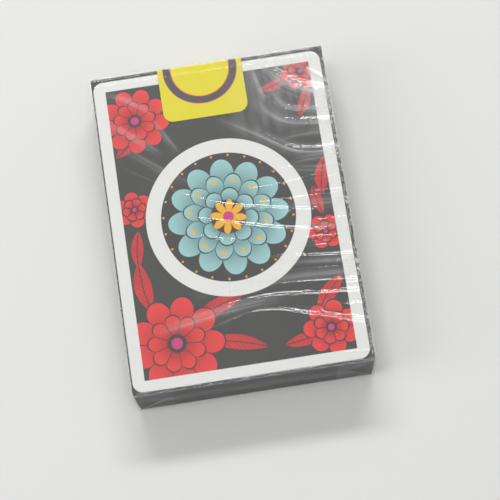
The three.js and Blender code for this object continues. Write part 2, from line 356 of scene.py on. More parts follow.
# %% Leaf
VEIN_HALF = 0.16
leaf, wires, takes, gives = new_group(
    "leaf",
    {**HERE, "Stem x": 0.0, "Stem y": 0.0, "Turn": 0.0, "Length": 10.0, "Width": 3.0},
    ("Distance", "Vein"),
)
dx, dy = wires.less(takes["Across"], takes["Stem x"]), wires.less(takes["Up"], takes["Stem y"])
cosine, sine = wires.math("COSINE", takes["Turn"]), wires.math("SINE", takes["Turn"])
along = wires.add(wires.times(dx, cosine), wires.times(dy, sine))
aside = wires.less(wires.times(dy, cosine), wires.times(dx, sine))
share = wires.math("DIVIDE", along, takes["Length"])
bow = wires.times(wires.times(share, wires.rest(share)), wires.times(takes["Width"], 2.0))
off_rib = wires.positive(wires.less(aside, wires.times(bow, 0.25)))
wires.join(wires.less(off_rib, bow), gives["Distance"])
off_side_rib = wires.positive(wires.math("SINE", wires.add(
    wires.times(along, 2.1), wires.times(off_rib, -2.6))))
wires.join(wires.less(wires.smaller(off_rib, off_side_rib), VEIN_HALF), gives["Vein"])

# %% Petals
PETAL_GAP = 0.55
petals, wires, takes, gives = new_group(
    "petals",
    {**HERE, "Middle x": 0.0, "Middle y": 0.0, "Radius": 10.0, "Count": 8.0,
     "Turn": 0.0, "Notch": 0.3},
    ("Distance", "Gap", "Reach"),
)
dx, dy = wires.less(takes["Across"], takes["Middle x"]), wires.less(takes["Up"], takes["Middle y"])
reach = wires.size(dx, dy)
angle = wires.add(wires.math("ARCTAN2", dy, dx), takes["Turn"])
wave = wires.positive(wires.math("COSINE", wires.times(angle, wires.times(takes["Count"], 0.5))))
round_tip = wires.math("POWER", wave, 0.55)
edge_share = wires.rest(wires.times(takes["Notch"], wires.rest(round_tip)))
wires.join(wires.less(reach, wires.times(takes["Radius"], edge_share)), gives["Distance"])
wires.join(wires.less(wires.times(wave, reach), PETAL_GAP), gives["Gap"])
wires.join(wires.math("DIVIDE", reach, takes["Radius"]), gives["Reach"])

# %% Beads on a circle
beads, wires, takes, gives = new_group(
    "beads", {**HERE, "Radius": 10.0, "Count": 16.0, "Bead": 0.5}, ("Distance",)
)
angle = wires.math("ARCTAN2", takes["Up"], takes["Across"])
step = wires.math("DIVIDE", 2 * math.pi, takes["Count"])
within = wires.less(wires.math("FLOORED_MODULO", angle, step), wires.times(step, 0.5))
reach = wires.size(takes["Across"], takes["Up"])
beside = wires.times(reach, wires.math("SINE", within))
beyond = wires.less(wires.times(reach, wires.math("COSINE", within)), takes["Radius"])
wires.join(wires.less(wires.size(beside, beyond), takes["Bead"]), gives["Distance"])
print("groups", rounded_box.name, leaf.name, petals.name, beads.name)

# %% [markdown]
# ## The printed front
# The front panel is printed in flat inks on a dark ground: a pale frame with rounded
# outer corners, a pale ring in the middle, red blossoms and leaves outside the ring
# and a blue-grey flower inside it. Each shape is laid over the last, as inks are.

# %% Printed front: inks
GROUND, PALE_INK = (0.050, 0.050, 0.048, 1), (0.80, 0.80, 0.77, 1)
RED_INK, DEEP_RED = (0.80, 0.050, 0.052, 1), (0.50, 0.022, 0.026, 1)
BLUE_GREY, DEEP_BLUE = (0.34, 0.60, 0.60, 1), (0.12, 0.23, 0.24, 1)
MAGENTA, AMBER = (0.62, 0.045, 0.22, 1), (0.88, 0.44, 0.018, 1)
PRINT_MIDDLE = (-0.24, -0.05)
FRAME_SHIFT = (0.07, 0.25)  # the frame sits a little lower than the ring


def toned(ink, share):
    """An ink made brighter or darker."""
    return tuple(share * v for v in ink[:3]) + (1,)


front_print, wires, shader = surface("front_print", Roughness=0.42)
spot = wires.place()
x, y, _ = wires.apart(spot)
x, y = wires.less(x, PRINT_MIDDLE[0]), wires.less(y, PRINT_MIDDLE[1])
grain = wires.use(fibre, Place=spot, Fibre_size=0.30, Depth=0.25)
colour = wires.mix(grain["Mottle"], GROUND, toned(GROUND, 1.25))

# %% Printed front: red leaves and blossoms
LEAVES = (  # stem, turn, length and width of each
    (22.5, 38.0, 3.45, 9.0, 2.8), (27.5, 35.0, -1.95, 10.0, 3.2), (26.5, 2.0, 1.35, 12.0, 3.8),
    (26.0, -3.5, 1.75, 9.0, 3.0), (-13.5, -28.0, 0.35, 15.0, 4.4), (-11.0, -34.0, -0.25, 17.0, 4.2),
    (-24.5, -24.0, 1.70, 15.0, 4.8), (-26.5, -11.0, 1.45, 11.0, 3.4), (-20.0, 30.0, 3.9, 12.0, 4.0),
    (-22.0, 35.0, -0.5, 11.0, 3.6), (20.0, -31.0, 0.85, 13.0, 4.2), (21.5, -36.0, 3.35, 12.0, 3.6),
)
BLOSSOMS = (  # middle, radius, petals and turn of each
    (-19.0, -33.5, 13.0, 9, 0.1), (-22.0, 32.0, 9.6, 9, 0.2), (23.0, -35.5, 7.6, 7, 0.5),
    (26.2, 39.4, 5.6, 7, 0.3), (-25.5, 6.0, 5.2, 6, 0.4), (25.8, -8.5, 5.0, 6, 0.0),
)


def lay_petals(colour, middle, radius, count, turn, notch, edge, shades, inks):
    """Lays a round of petals with a dark edge, shaded from its middle to its tips."""
    drawn = wires.use(
        petals, Across=x, Up=y, Middle_x=middle[0], Middle_y=middle[1],
        Radius=radius, Count=float(count), Turn=turn, Notch=notch)
    leafy = wires.times(wires.inside(drawn["Distance"]), wires.rest(wires.inside(drawn["Gap"])))
    shade = wires.mix(wires.ramp(drawn["Reach"], *shades), *inks)
    colour = wires.printed(colour, wires.less(drawn["Distance"], edge), GROUND)
    return wires.mix(leafy, colour, shade), drawn


soft_red = wires.mix(wires.noise(spot, 0.16, 3.0), RED_INK, DEEP_RED)
for stem_x, stem_y, turn, length, width in LEAVES:
    drawn = wires.use(
        leaf, Across=x, Up=y, Stem_x=stem_x, Stem_y=stem_y, Turn=turn, Length=length, Width=width
    )
    body = wires.times(wires.inside(drawn["Distance"]), wires.rest(wires.inside(drawn["Vein"])))
    colour = wires.mix(body, colour, soft_red)
for middle_x, middle_y, radius, count, turn in BLOSSOMS:
    for share, twist, notch in ((1.0, 0.0, 0.34), (0.60, math.pi / count, 0.30)):
        colour, drawn = lay_petals(
            colour, (middle_x, middle_y), radius * share, count, turn + twist, notch,
            0.45, (0.25, 0.95), (DEEP_RED, RED_INK))
    for share, ink in ((0.34, GROUND), (0.20, MAGENTA)):
        colour = wires.printed(colour, wires.less(drawn["Reach"], share), ink, 0.02)

# %% Printed front: the flower in the ring
from_middle = wires.size(x, y)
colour = wires.printed(colour, wires.less(from_middle, 20.0), GROUND)
for radius, count, turn, notch in (
        (16.8, 12, 0.0, 0.28), (12.4, 12, math.pi / 12, 0.30), (8.2, 8, 0.2, 0.30)):
    colour, _ = lay_petals(
        colour, (0.0, 0.0), radius, count, turn, notch, 0.4, (0.45, 1.0), (DEEP_BLUE, BLUE_GREY))
tips = wires.use(
    petals, Across=x, Up=y, Middle_x=0.0, Middle_y=0.0, Radius=5.0, Count=8.0, Turn=0.2, Notch=0.75)
for distance, ink in (
        (wires.less(from_middle, 4.9), GROUND), (tips["Distance"], AMBER),
        (wires.less(from_middle, 1.5), MAGENTA)):
    colour = wires.printed(colour, distance, ink)
for radius, count, size in ((10.6, 12.0, 0.62), (18.0, 24.0, 0.30)):
    drawn = wires.use(beads, Across=x, Up=y, Radius=radius, Count=count, Bead=size)
    colour = wires.printed(colour, drawn["Distance"], AMBER)

# %% Printed front: pale ring and frame
FRONT_RING, FRONT_RING_HALF = 20.78, 2.10
FRAME_OUTER = {"Half_width": 32.4, "Half_height": 45.22, "Corner": 2.9}
FRAME_INNER = {"Half_width": 29.02, "Half_height": 42.18, "Corner": 0.05}
ring = wires.less(wires.positive(wires.less(from_middle, FRONT_RING)), FRONT_RING_HALF)
colour = wires.printed(colour, ring, PALE_INK)
x, y = wires.add(x, FRAME_SHIFT[0]), wires.add(y, FRAME_SHIFT[1])
outer = wires.use(rounded_box, Across=x, Up=y, **FRAME_OUTER)["Distance"]
inner = wires.use(rounded_box, Across=x, Up=y, **FRAME_INNER)["Distance"]
frame_band = wires.larger(outer, wires.times(inner, -1.0))
colour = wires.printed(colour, frame_band, PALE_INK)
outside = wires.inside(wires.times(outer, -1.0))
pale_part = wires.larger(wires.inside(frame_band), wires.inside(ring))
colour = wires.mix(wires.times(outside, wires.rest(pale_part)), colour, GROUND)
wires.join(colour, shader.inputs["Base Color"])
wires.join(grain["Normal"], shader.inputs["Normal"])
print("printed front", len(wires.tree.nodes), "nodes")

# %% [markdown]
# ## Board
# The case, its lid, tongue and dust flaps are cut from one sheet: dark ink outside,
# bare grey-white board inside and at each cut edge. The outside ink is darker than the
# front's printed ground: dark ink, and painted shade on the sides and ends. The outside
# is told from the inside by the place of a point in the closed case. A crease breaks
# the ink's surface a little, so the outer edges are slightly paler.

# %% Board finish
CASE_HALF_WIDTH, CASE_BACK, CASE_FRONT, CASE_END = 33.1, 0.35, 19.005, 45.975


def make_board():
    material, wires, shader = surface("case_board")
    spot = wires.place()
    x, y, z = wires.apart(spot)
    grain = wires.use(fibre, Place=spot, Fibre_size=0.22, Depth=0.2)
    off_side = wires.less(CASE_HALF_WIDTH, wires.positive(x))
    off_end = wires.less(CASE_END, wires.positive(y))
    off_face = wires.smaller(wires.less(z, CASE_BACK), wires.less(CASE_FRONT, z))
    ink = wires.ramp(wires.smaller(off_side, off_end, off_face), 0.22, 0.16)
    off_edge = wires.larger(
        wires.smaller(off_side, off_end), wires.smaller(off_side, off_face),
        wires.smaller(off_end, off_face))
    worn = wires.times(
        wires.ramp(off_edge, 0.55, 0.10), wires.ramp(wires.noise(spot, 1.4, 4.0, 0.7), 0.45, 0.75))
    # Dark ink, laid darker than the front's ground as painted shade on the sides and ends.
    dark = wires.mix(grain["Mottle"], (0.010, 0.010, 0.010, 1), (0.018, 0.018, 0.017, 1))
    dark = wires.mix(wires.times(worn, 0.35), dark, (0.20, 0.20, 0.19, 1))
    bare = wires.mix(grain["Mottle"], (0.50, 0.49, 0.46, 1), (0.70, 0.69, 0.66, 1))
    wires.join(wires.mix(ink, bare, dark), shader.inputs["Base Color"])
    wires.join(wires.ramp(ink, 0.0, 1.0, 0.85, 0.45), shader.inputs["Roughness"])
    wires.join(grain["Normal"], shader.inputs["Normal"])
    return material


board = make_board()

# %% [markdown]
# ## Seal
# The seal is a yellow paper sticker with a dark ring that runs over the pack's front
# edge. Both of its parts are drawn on one flat sticker: on the front the distance
# down from the edge is read along the pack, and on the end it is read down the end.

# %% Seal finish
SEAL_MIDDLE, RING_DROP, RING_RADIUS, RING_WIDTH = -2.0, 1.3, 9.35, 2.1
YELLOW, SEAL_DARK = (0.82, 0.72, 0.012, 1), (0.080, 0.080, 0.077, 1)
RIM_RED, RIM_VIOLET = (0.80, 0.16, 0.06, 1), (0.45, 0.05, 0.22, 1)
RIM_REACH, RIM_INSET, RIM_BLEND = 0.16, 0.10, 0.2  # the coloured rims of the printed ring


def make_seal():
    material, wires, shader = surface("seal_paper", Roughness=0.48)
    spot = wires.place()
    x, y, z = wires.apart(spot)
    grain = wires.use(fibre, Place=spot, Fibre_size=0.28, Depth=0.4)
    over_front = wires.larger(wires.less(CASE_END, y), 0.0)
    down_end = wires.larger(wires.less(CASE_FRONT, z), 0.0)
    below_edge = wires.less(over_front, down_end)
    out = wires.size(wires.less(x, SEAL_MIDDLE), wires.less(below_edge, RING_DROP))
    off_ring = wires.positive(wires.less(out, RING_RADIUS))
    colour = wires.mix(grain["Mottle"], YELLOW, toned(YELLOW, 0.90))
    rim_outer = wires.ramp(out, RING_RADIUS - RIM_BLEND, RING_RADIUS + RIM_BLEND)
    rim = wires.mix(rim_outer, RIM_RED, RIM_VIOLET)
    for wider, ink in ((RIM_REACH, rim), (-RIM_INSET, SEAL_DARK)):
        colour = wires.printed(colour, wires.less(off_ring, RING_WIDTH / 2 + wider), ink)
    wires.join(colour, shader.inputs["Base Color"])
    wires.join(grain["Normal"], shader.inputs["Normal"])
    return material


seal_paper = make_seal()

# %% [markdown]
# ## Cards
# A card is white stock with a linen-pressed, lightly coated face. Its back has the
# ground colour of the case inside a white margin, and its edges show the bare stock.
# The face and the back are told apart by the way they point.

# %% Card finish
CARD_MIDDLE_Y, LINEN_PER_MM = -0.42, 9.0
CARD_BACK = {"Half_width": 28.6, "Half_height": 41.3, "Corner": 2.0}


def make_card():
    material, wires, shader = surface("card_stock", Roughness=0.38)
    spot = wires.place()
    x, y, _ = wires.apart(spot)
    grain = wires.use(fibre, Place=spot, Fibre_size=0.20, Depth=0.25)
    facing = wires.apart(wires.node("ShaderNodeNewGeometry").outputs["Normal"])[2]
    back = wires.ramp(facing, -0.6, -0.8)
    inset = wires.use(rounded_box, Across=x, Up=wires.less(y, CARD_MIDDLE_Y), **CARD_BACK)
    white = wires.mix(grain["Mottle"], (0.74, 0.73, 0.70, 1), (0.82, 0.81, 0.78, 1))
    linen = wires.times(*(wires.math("SINE", wires.times(v, LINEN_PER_MM)) for v in (x, y)))
    white = wires.mix(wires.ramp(linen, -1.0, 1.0, 0.0, 0.10), white, (0.66, 0.65, 0.62, 1))
    ground_share = wires.times(back, wires.inside(inset["Distance"]))
    wires.join(wires.mix(ground_share, white, GROUND), shader.inputs["Base Color"])
    wires.join(grain["Normal"], shader.inputs["Normal"])
    return material


card_stock = make_card()

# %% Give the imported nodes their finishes
FINISH = {"case_board": board, "seal_paper": seal_paper, "card_stock": card_stock}
slots = {part["node"]: part["material_slot"] for part in frame["record"]["subparts"]}
for name, node in frame["nodes"].items():
    if slots[name] in FINISH:
        node.data.materials.clear()
        node.data.materials.append(FINISH[slots[name]])
print("finished nodes", sum(s in FINISH for s in slots.values()))

# %% [markdown]
# ## The printed layer
# Ink and varnish lie on the board as a thin layer of their own. As a separate sheet a
# hundredth of a millimetre thick it can carry the artwork at full sharpness. It stops
# at the seal, which is stuck over it on the real pack.

# %% Printed layer


def arc_points(middle, radius, start, end, steps):
    angles = np.radians(np.linspace(start, end, steps))
    return [(middle[0] + radius * math.cos(a), middle[1] + radius * math.sin(a)) for a in angles]


def mesh_of(builder, name, material):
    """The builder's faces, turned outwards, as a mesh with its finish."""
    bmesh.ops.recalc_face_normals(builder, faces=builder.faces)
    mesh = bpy.data.meshes.new(name)
    builder.to_mesh(mesh)
    builder.free()
    mesh.materials.append(material)
    return mesh


def finished(name, mesh, body, *nodes, slot=None):
    """Links a piece, hangs it on the body it rides on and hides the nodes it stands for."""
    piece = bpy.data.objects.new(name, mesh)
    scene.collection.objects.link(piece)
    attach(piece, body)
    if nodes:
        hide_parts(*nodes)


seal_low, seal_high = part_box("seal_front")
seal_left, seal_right, seal_end = (v / MM for v in (seal_low[0], seal_high[0], seal_low[1]))
GAP, PANEL_X, PANEL_TOP, PANEL_END, SEAL_CORNER = 0.05, 32.8, 45.95, -45.92, 2.8
INK_LOW, INK_HIGH = 19.007, 19.017
outline = [(-PANEL_X, PANEL_END), (PANEL_X, PANEL_END), (PANEL_X, PANEL_TOP)]
outline += [(seal_right + GAP, PANEL_TOP)]
for corner_x, start in ((seal_right - SEAL_CORNER, 0), (seal_left + SEAL_CORNER, -90)):
    outline += arc_points(
        (corner_x, seal_end + SEAL_CORNER), SEAL_CORNER + GAP, start, start - 90, 9)
outline += [(seal_left - GAP, PANEL_TOP), (-PANEL_X, PANEL_TOP)]
builder = bmesh.new()
face = builder.faces.new(
    [builder.verts.new((px * MM, py * MM, INK_LOW * MM)) for px, py in outline])
raised = bmesh.ops.extrude_face_region(builder, geom=[face], use_keep_orig=True)["geom"]
for corner in raised:
    if isinstance(corner, bmesh.types.BMVert):
        corner.co.z = INK_HIGH * MM
print_mesh = mesh_of(builder, "front_print", front_print)
finished("front_print", print_mesh, "case", slot="case_board")
print("printed layer", len(print_mesh.vertices), "points")

# %% [markdown]
# ## End flap
# The closed end of a tuck case is made of flaps glued over each other. In the packed
# model the back panel's flap is the outermost and stops short of the front edge. In
# the picture the front's dark margin runs on to the edge, so here a thin flap that
# carries on from the front panel is laid over it. Its profile is board bent over the
# edge, drawn out across the pack and narrower towards its foot.

# %% End flap
FLAP_FACE, FLAP_TOP, FLAP_FOOT, FLAP_BEND = -46.195, 19.006, 0.75, 0.28
FLAP_HALF, FLAP_TAPER, FOOT_EDGE = 32.9, 0.5, 0.1
CASE_BEND, HAIR = 0.3, 0.001  # a hair keeps the flap's inside clear of the case
profile = arc_points((FLAP_FACE + FLAP_BEND, FLAP_TOP - FLAP_BEND), FLAP_BEND, 90, 180, 7)
profile += [(FLAP_FACE, FLAP_FOOT + FOOT_EDGE), (FLAP_FACE + FOOT_EDGE, FLAP_FOOT)]
profile += [(-CASE_END - HAIR, FLAP_FOOT)]
profile += arc_points(
    (CASE_BEND - CASE_END, CASE_FRONT - CASE_BEND), CASE_BEND + HAIR, 180, 90, 7)
builder = bmesh.new()
sides = []
for side in (-1, 1):
    half = [FLAP_HALF - FLAP_TAPER * (FLAP_TOP - height) / FLAP_TOP for _, height in profile]
    sides.append([
        builder.verts.new((side * across * MM, along * MM, height * MM))
        for across, (along, height) in zip(half, profile)])
    builder.faces.new(sides[-1])
left, right = sides
for k in range(len(profile)):
    builder.faces.new((left[k - 1], left[k], right[k], right[k - 1]))
flap_mesh = mesh_of(builder, "end_flap", board)
finished("end_flap", flap_mesh, "case", slot="case_board")
print("end flap", len(flap_mesh.polygons), "faces")

# %% [markdown]
# ## Film: the plain wrap
# The film is a tube drawn over the pack and shut at each end like a parcel: the sides
# are tucked in first, then the back flap comes up and the front flap comes down over
# it. One layer is drawn first as rows of points round the pack, so its wrinkles can be
# set by sums, and the wall's thickness comes last.

# %% Film: section and rows
low, high = (np.array(v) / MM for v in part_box("wrap_sleeve"))
cap_low, cap_high = (np.array(v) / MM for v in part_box("wrap_cap"))
HALF_WIDTH, TOP_FACE, FILM_CORNER = high[0], high[2], 0.25
WALL = 0.03  # the film's own thickness


def side_of(start, end, steps):
    return [np.array(start) + (np.array(end) - start) * k / steps for k in range(steps)]


def corner_of(middle, start, steps=4):
    angles = np.radians([start - 90 * k / steps for k in range(steps)])
    return [np.array(middle) + FILM_CORNER * np.array((math.cos(a), math.sin(a))) for a in angles]


def section(front_steps, side_steps, back_steps):
    """The film's outline across the pack, from the front's left end clockwise."""
    w, r, t = HALF_WIDTH, FILM_CORNER, TOP_FACE
    parts = [
        side_of((-w + r, t), (w - r, t), front_steps), corner_of((w - r, t - r), 90),
        side_of((w, t - r), (w, r), side_steps), corner_of((w - r, r), 0),
        side_of((w - r, 0.0), (-w + r, 0.0), back_steps), corner_of((-w + r, r), -90),
        side_of((-w, r), (-w, t - r), side_steps), corner_of((-w + r, t - r), 180),
    ]
    starts = np.cumsum([0] + [len(part) for part in parts])
    return np.array([point for part in parts for point in part]), starts


def pointing(points):
    """Which way each point of the section faces."""
    core = np.array((HALF_WIDTH - FILM_CORNER, TOP_FACE / 2 - FILM_CORNER))
    off = points - (0.0, TOP_FACE / 2)
    away = off - np.clip(off, -core, core)
    return away / np.linalg.norm(away, axis=1, keepdims=True)


# %% [markdown]
# ## Film: creases
# Shrunk film is tight, and its slack gathers in long thin folds where the pack pulls
# it. A sharp fold mirrors the lamps as a bright thread, and a broad one as a soft
# band. Each is a route over the front, because a list of routes gives the folds their
# natural fan, which a noise alone wouldn't. Folds that lie close together are kept in
# different layers, so each layer can store how far every point is from its own folds.

# %% Film: crease routes
SHARP = (  # in each layer: steepest slope, width in mm, and route over the front in mm
    (
        (0.28, 0.42, (
            (-12.7, -31.7), (1.9, -27.5), (8.9, -27.8), (16.6, -30.4), (22.3, -31.7), (28.8, -34.4),
            (33.2, -35.8))),
        (0.26, 0.34, ((5.9, -21.6), (10.7, -20.9), (20.4, -21.6), (33.2, -23.0))),
        (0.25, 0.36, ((-13.3, 1.9), (-1.2, -1.3), (5.6, -3.3), (14.2, -5.6), (31.5, -8.6))),
        (0.19, 0.26, ((15.0, -12.2), (22.0, -12.0), (31.5, -12.8))),
        (0.25, 0.26, ((22.5, -29.0), (27.0, -29.4), (33.2, -30.0))),
        (0.12, 0.34, ((-28.0, 19.0), (-19.0, 13.0), (-9.6, 7.0), (-5.0, 4.6))),
        (0.16, 0.24, ((16.0, 7.4), (23.0, 6.8), (32.6, 7.0))),
    ),
    (
        (0.25, 0.36, ((12.0, -27.6), (18.0, -29.2), (24.5, -32.6), (33.2, -34.0))),
        (0.27, 0.34, ((5.1, -13.9), (11.8, -13.2), (20.5, -14.6), (33.1, -15.8))),
        (0.24, 0.34, ((-12.4, 8.7), (-2.0, 3.8), (6.4, 2.1), (16.7, -0.3), (31.0, -2.6))),
        (0.20, 0.30, ((-12.8, -3.0), (-8.8, -4.5), (1.4, -7.3), (7.5, -8.9))),
        (0.19, 0.28, ((14.0, -18.0), (22.0, -18.4), (32.0, -19.6))),
        (0.15, 0.24, ((22.0, 8.6), (25.7, 8.0), (33.0, 8.1))),
    ),
    (
        (0.26, 0.42, ((-14.9, -27.0), (-1.2, -24.4), (9.6, -23.9), (20.0, -25.2), (33.0, -26.4))),
        (0.21, 0.30, ((13.3, -9.6), (20.0, -9.4), (31.8, -10.2))),
        (0.16, 0.22, ((13.8, 9.3), (13.6, 1.4))),
        (0.13, 0.24, ((-1.5, -10.2), (-3.2, -23.1), (-5.6, -33.0))),
        (0.19, 0.24, ((17.0, 4.2), (24.0, 3.4), (32.8, 3.0))),
        (0.10, 0.22, ((25.2, 35.2), (26.9, 33.7), (29.8, 32.2))),
    ),
)
BROAD = (
    (
        (0.105, 1.30, ((12.6, 33.0), (15.3, 28.0), (19.0, 25.5), (22.8, 24.3), (33.0, 23.2))),
        (0.098, 2.60, ((14.4, 44.6), (18.5, 39.8), (20.8, 37.2), (24.5, 34.8), (33.0, 31.4))),
        (0.058, 1.20, ((-30.0, 41.0), (-24.0, 38.6), (-17.0, 33.0))),
        (0.058, 1.20, ((-14.0, -21.4), (0.0, -20.6), (14.0, -20.0), (33.0, -21.0))),
        (0.072, 0.90, ((13.0, -5.6), (22.0, -6.4), (33.0, -7.6))),
        (0.086, 0.90, ((19.0, 12.6), (24.9, 13.4), (33.0, 12.8))),
        (0.065, 1.10, ((-30.9, 33.0), (-24.0, 27.5), (-16.0, 20.6))),
    ),
    (
        (0.083, 1.10, (
            (15.8, 37.6), (18.3, 32.5), (19.7, 30.4), (21.3, 29.0), (24.6, 28.2), (33.0, 27.6))),
        (0.108, 1.50, (
            (1.0, 28.6), (5.5, 26.1), (8.9, 24.0), (13.4, 21.1), (17.3, 18.3), (20.2, 16.6),
            (24.0, 15.4), (33.0, 15.0))),
        (0.090, 1.00, ((24.4, 44.6), (25.9, 41.6), (27.0, 39.8), (33.0, 35.6))),
        (0.065, 1.40, ((-24.0, -30.0), (-12.0, -27.6), (2.0, -25.6), (12.0, -25.4))),
        (0.079, 0.90, ((14.0, -16.2), (22.0, -16.6), (33.0, -17.8))),
        (0.058, 0.80, ((-17.1, 31.2), (-14.8, 26.5), (-11.5, 20.5))),
    ),
    (
        (0.072, 0.90, ((17.6, 20.2), (24.6, 20.9), (33.0, 20.4))),
        (0.050, 1.10, ((-26.7, 24.4), (-18.0, 17.0), (-9.6, 11.0))),
        (0.076, 1.60, ((12.4, 44.6), (13.4, 38.0), (15.3, 31.7))),
        (0.065, 1.20, ((12.0, 0.8), (22.0, 0.2), (33.0, -0.4))),
        (0.072, 1.00, ((17.0, 11.8), (23.2, 9.9), (33.0, 9.4))),
    ),
)
STEEPEST = math.sqrt(2) * math.exp(-0.5)  # slope of a bell-shaped ridge as high as it is wide
MESH_SHARE = 0.35  # how much of each fold the mesh carries; the finish's bump has the rest


def eased(route, rounds=3):
    """Cuts the corners of a route, so that it bends smoothly."""
    route = np.array(route)
    for _ in range(rounds):
        before, after = route[:-1], route[1:]
        cut = np.stack((0.75 * before + 0.25 * after, 0.25 * before + 0.75 * after), 1)
        route = np.concatenate((route[:1], cut.reshape(-1, 2), route[-1:]))
    return route


print("creases", sum(len(layer) for layer in SHARP + BROAD))

# %% Film: how far each point is from its folds


def no_folds(x):
    return np.zeros_like(x), np.stack((np.full_like(x, 9.0), np.ones_like(x), np.zeros_like(x)), -1)


def with_fold(tallest, field, off, width, slope):
    """Keeps the taller fold at each point."""
    reach = np.clip((2.2 * width + 0.6 - np.abs(off)) / 0.6, 0, 1)
    tall = slope * width / STEEPEST * np.exp(-((off / width) ** 2)) + 1e-9 * reach
    better = tall > tallest
    here = np.stack((off, np.full_like(off, width), slope * reach), -1)
    return np.where(better, tall, tallest), np.where(better[..., None], here, field)


def crease_field(x, y, layer):
    """The folds' height, and per point the distance, width and slope of one fold."""
    tallest, field = no_folds(x)
    for slope, width, route in layer:
        ends_at_edge = abs(route[-1][0]) > 32.5
        fading = 0.45 if width < 0.5 else 0.7  # a thread starts more abruptly than a band
        route = eased(route)
        steps = np.linalg.norm(np.diff(route, axis=0), axis=1)
        along = np.concatenate(([0], np.cumsum(steps))) / steps.sum()
        off, place = np.full_like(x, 1e9), np.zeros_like(x)
        for k, (a, b) in enumerate(zip(route[:-1], route[1:])):
            line = b - a
            share = np.clip(((x - a[0]) * line[0] + (y - a[1]) * line[1]) / (line @ line), 0, 1)
            aside = np.hypot(x - a[0] - share * line[0], y - a[1] - share * line[1])
            side = np.where(line[0] * (y - a[1]) - line[1] * (x - a[0]) < 0, -1, 1)
            closer = aside < np.abs(off)
            off = np.where(closer, aside * side, off)
            place = np.where(closer, along[k] + share * (along[k + 1] - along[k]), place)
        fade = np.sin(np.pi * np.clip(place, 0, 1) * (0.5 if ends_at_edge else 1.0)) ** fading
        tallest, field = with_fold(tallest, field, off, width, slope * fade)
    return tallest, field


def pleat_list(seed, steepest):
    """Short folds along one long edge: place, slope, width, reach and lean of each."""
    dice = np.random.default_rng(seed)
    pleats, place = [], -45.6 + dice.uniform(0, 3)
    while place < 45.6:
        slope, width = dice.uniform(0.35, 1.0) * steepest, dice.uniform(0.22, 0.60)
        reach, lean = 1.5 + 12 * dice.uniform() ** 2, dice.uniform(-0.2, 0.2)
        pleats.append((place, slope, width, reach, lean))
        place += dice.uniform(2.6, 6.5)
    return pleats


def pleat_field(y, depth, pleats):
    """As crease_field, for pleats that start at an edge and run depth mm down the side."""
    tallest, field = no_folds(y)
    for place, slope, width, reach, lean in pleats:
        fade = np.clip(1 - depth / reach, 0, 1)
        tallest, field = with_fold(tallest, field, y - place - lean * depth, width, slope * fade)
    return tallest, field


def crinkle(x, y):
    """A fine seeded crumple along the front's edges, from 0 to 1."""
    dice = np.random.default_rng(7)
    total = np.zeros_like(x)
    for _ in range(14):
        turn, per_mm, phase = dice.uniform(0, math.pi), dice.uniform(1.6, 5.2), dice.uniform(0, 6.3)
        total += np.sin(per_mm * (x * math.cos(turn) + y * math.sin(turn)) + phase)
    edge = np.minimum(HALF_WIDTH - np.abs(x), cap_high[1] - np.abs(y))
    return np.clip(0.5 + total / 8, 0, 1) * np.exp(-((edge / 1.7) ** 2))


LAYER_NAMES = [f"sharp_{k}" for k in range(len(SHARP))] + [f"broad_{k}" for k in range(len(BROAD))]
print("layers", LAYER_NAMES)

# %% [markdown]
# ## Film: from points to a sheet
# The tube's last row is also the first row of each end flap, so the sheet turns over
# the end edge without a seam. Each flap narrows towards its free edge, because its
# corners are folded in under it. The tube itself is closed by a lap along one side,
# where two edges of the wrap are sealed on each other.

# %% Film: sheet


class Sheet:
    """Points and faces of one layer of film, and what is stored at each point."""

    def __init__(self, flip):
        self.flip = flip  # whether its rows run towards +Y
        self.points, self.inward, self.slack, self.faces = [], [], [], []
        self.free_edge, self.folds = [], []

    def add(self, points, inward, slack, free_edge=0.0, folds=None):
        first, count = sum(len(p) for p in self.points), len(points)
        self.points.append(np.asarray(points, float))
        self.inward.append(np.broadcast_to(inward, (count, 3)))
        self.slack.append(np.broadcast_to(slack, (count,)))
        self.free_edge.append(np.broadcast_to(free_edge, (count,)))
        no_fold = np.tile((9.0, 1.0, 0.0), (len(LAYER_NAMES), count, 1))
        self.folds.append(no_fold if folds is None else folds)
        return np.arange(first, first + count)

    def join_rows(self, upper, lower):
        for a, b, c, d in zip(upper[:-1], upper[1:], lower[1:], lower[:-1]):
            self.faces.append((a, b, c, d) if self.flip else (a, d, c, b))


# %% Film: tube and lap
SIDE_SUNK, BACK_SUNK, DEEPEST = 0.09, 0.20, 0.22  # how far inside the box the film lies
FRONT_SUNK, SEAL_SUNK = 0.17, 0.12
CRINKLE_DEPTH, PLEAT_SLOPES = 0.05, {1: 0.26, -1: 0.17}  # right and left side
LAP_SPAN, LAP_DEPTH = (8.0, 12.6), 0.02


def add_pleats(folds, around, facing, y):
    """Puts the folds of both long sides in their layers, and gives their height."""
    side_lift = np.zeros_like(y)
    for side, steepest in PLEAT_SLOPES.items():
        on_side = facing[:, 0] * side > 0.7
        side_y = y[:, on_side]
        height = np.broadcast_to(around[on_side, 1], side_y.shape)
        for k in range(len(SHARP)):
            tall, field = pleat_field(
                side_y, TOP_FACE - height, pleat_list((k, 1 + side), steepest))
            low_tall, low_field = pleat_field(
                side_y, height, pleat_list((k, 5 + side), 0.5 * steepest))
            folds[k][:, on_side] = np.where((tall > low_tall)[..., None], field, low_field)
            side_lift[:, on_side] = np.maximum(
                side_lift[:, on_side], np.maximum(tall, low_tall))
    return side_lift


